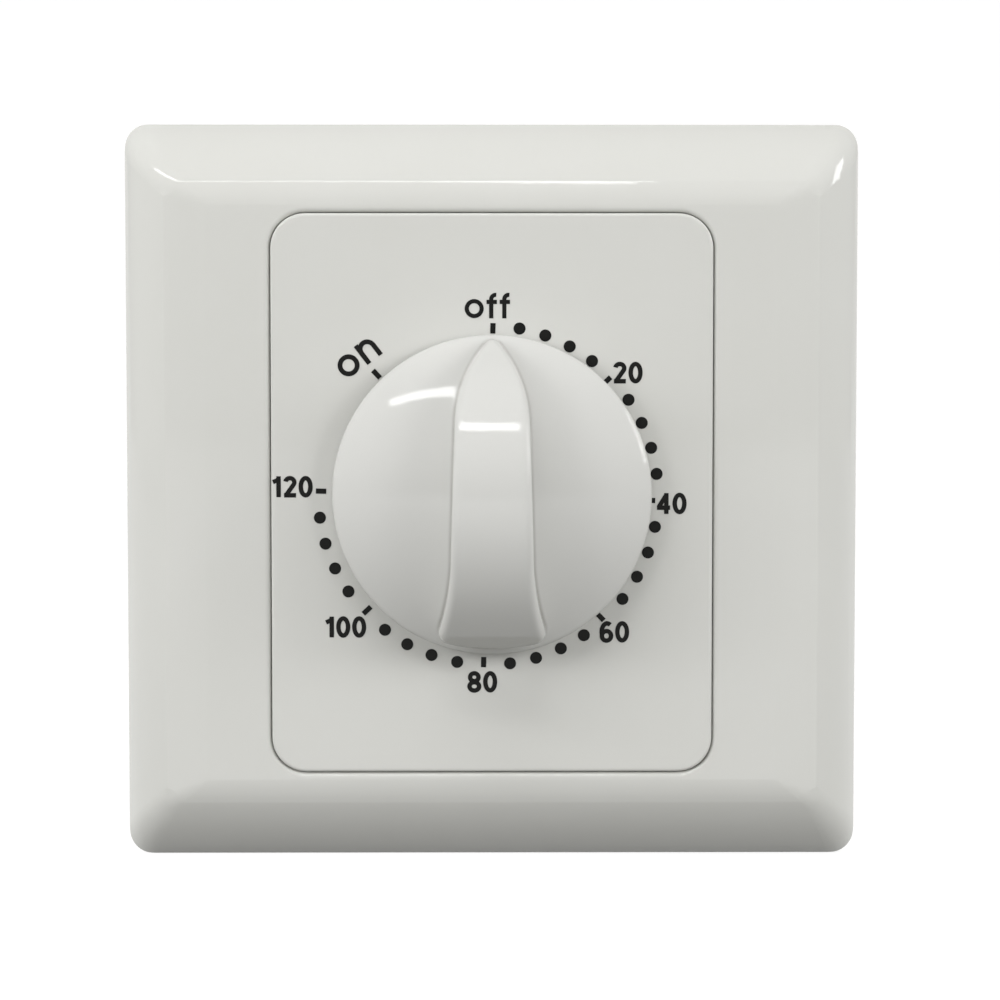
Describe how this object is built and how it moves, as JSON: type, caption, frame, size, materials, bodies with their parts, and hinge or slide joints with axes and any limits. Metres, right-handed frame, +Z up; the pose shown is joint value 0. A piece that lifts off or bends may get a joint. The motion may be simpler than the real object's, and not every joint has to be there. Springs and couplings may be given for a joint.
{
  "type": "countdown timer switch",
  "caption": "Square wall plate with a round pointer knob over a clockwork countdown movement that opens a switch contact; wires clamp in at the rear.",
  "frame": {"origin": "middle between the two wall-screw slots, in the wall plane, on the knob's axis", "axes": "+Z up, the front faces -Y, +Y goes into the wall"},
  "size_m": [0.086, 0.0512, 0.086],
  "materials": {
    "white_front": "glossy moulded off-white ABS",
    "casing_plastic": "satin moulded off-white plastic",
    "board_plastic": "dark brown moulded phenolic",
    "cam_plastic": "natural acetal",
    "plate_steel": "stamped zinc-plated sheet",
    "shaft_steel": "turned steel",
    "spring_steel": "blued spring steel",
    "screw_steel": "zinc-plated steel",
    "wheel_brass": "stamped brass",
    "contact_bronze": "phosphor bronze strip",
    "contact_silver": "silver contact",
    "dial_print": "dark grey pad print on the dial panel"
  },
  "bodies": {
    "wall_unit": {"surround_frame": "white_front", "face_plate": "white_front", "movement_screws": "screw_steel", "front_movement_plate": "plate_steel", "rear_movement_plate": "plate_steel", "plate_pillars": "shaft_steel", "mainspring": "spring_steel", "spring_post": "shaft_steel", "stop_pin": "shaft_steel", "contact_board": "board_plastic", "board_screws": "screw_steel", "moving_contact_leaf": "contact_bronze", "fixed_contact_strip": "contact_bronze", "moving_contact_rivet": "contact_silver", "fixed_contact_rivet": "contact_silver", "terminal_clamps": "wheel_brass", "clamp_screws": "screw_steel", "rear_casing": "casing_plastic", "casing_screws": "screw_steel"},
    "dial": {"knob": "white_front", "knob_clip": "spring_steel", "main_arbor": "shaft_steel", "great_wheel": "wheel_brass", "ratchet_wheel": "shaft_steel", "click_pivot": "shaft_steel", "click_spring": "spring_steel", "switch_cam": "cam_plastic", "arbor_ring": "spring_steel"},
    "click_pawl": {"click": "shaft_steel"},
    "second_gear": {"second_arbor": "shaft_steel", "second_pinion": "shaft_steel", "second_wheel": "wheel_brass"},
    "third_gear": {"third_arbor": "shaft_steel", "third_pinion": "shaft_steel", "third_wheel": "wheel_brass"},
    "escape_gear": {"escape_arbor": "shaft_steel", "escape_pinion": "shaft_steel", "escape_wheel": "wheel_brass"},
    "pallets": {"pallet_arbor": "shaft_steel", "pallet_lever": "wheel_brass", "pallet_pins": "shaft_steel"}
  },
  "joints": [
    {"name": "dial_turn", "type": "hinge", "parent": "wall_unit", "child": "dial", "pos_m": [0, 0, 0], "axis": [0, 1, 0], "range_deg": [-45, 270], "deforming": ["mainspring", "moving_contact_leaf", "moving_contact_rivet"]},
    {"name": "click_lift", "type": "hinge", "parent": "dial", "child": "click_pawl", "pos_m": [-0.00807, 0, -0.00376], "axis": [0, 1, 0], "range_deg": [0, 8], "deforming": ["click_spring"]},
    {"name": "second_turn", "type": "hinge", "parent": "wall_unit", "child": "second_gear", "pos_m": [-0.01072, 0, -0.009], "axis": [0, 1, 0], "continuous": true},
    {"name": "third_turn", "type": "hinge", "parent": "wall_unit", "child": "third_gear", "pos_m": [-0.0022, 0, -0.01383], "axis": [0, 1, 0], "continuous": true},
    {"name": "escape_turn", "type": "hinge", "parent": "wall_unit", "child": "escape_gear", "pos_m": [0.00628, 0, -0.01251], "axis": [0, 1, 0], "continuous": true},
    {"name": "pallet_rock", "type": "hinge", "parent": "wall_unit", "child": "pallets", "pos_m": [0.01377, 0, -0.01585], "axis": [0, 1, 0], "range_deg": [-3.5, 3.5]}
  ],
  "couplings": [
    {"joint": "second_turn", "follows": "dial_turn", "ratio": -6},
    {"joint": "third_turn", "follows": "dial_turn", "ratio": 36},
    {"joint": "escape_turn", "follows": "dial_turn", "ratio": -216}
  ]
}
